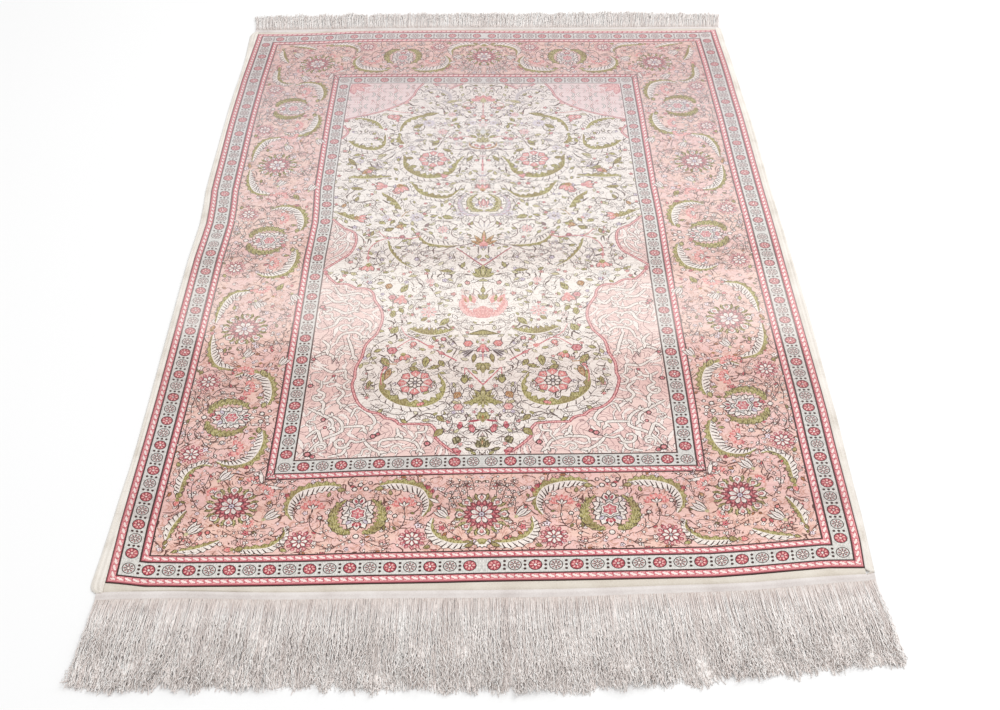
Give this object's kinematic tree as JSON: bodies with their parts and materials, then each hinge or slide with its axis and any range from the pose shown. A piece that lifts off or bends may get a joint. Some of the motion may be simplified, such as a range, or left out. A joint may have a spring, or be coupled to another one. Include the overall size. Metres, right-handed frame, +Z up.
{
  "type": "hereke rug",
  "caption": "Flat knotted silk rug with a corded selvedge on each long side, and a kilim strip, heading and thread fringe at each end.",
  "frame": {"origin": "on the floor under the middle of the rug's whole box, fringes included", "axes": "+X across the width, +Y along the rug from the long front fringe to the short back fringe, +Z up out of the pile"},
  "size_m": [1.044, 1.7796, 0.004],
  "materials": {
    "silk_pile": "knotted silk pile with a soft sheen",
    "selvedge_cord": "overcast silk cord, ivory",
    "kilim_weave": "plain weave, cream",
    "heading_weave": "bound warp ends, off-white",
    "fringe_thread": "loose warp threads, warm light grey"
  },
  "bodies": {
    "root": {"pile": "silk_pile", "selvedge_left": "selvedge_cord", "selvedge_right": "selvedge_cord", "kilim_front": "kilim_weave", "kilim_back": "kilim_weave", "heading_front": "heading_weave", "heading_back": "heading_weave", "fringe_front": "fringe_thread", "fringe_back": "fringe_thread"}
  },
  "joints": []
}
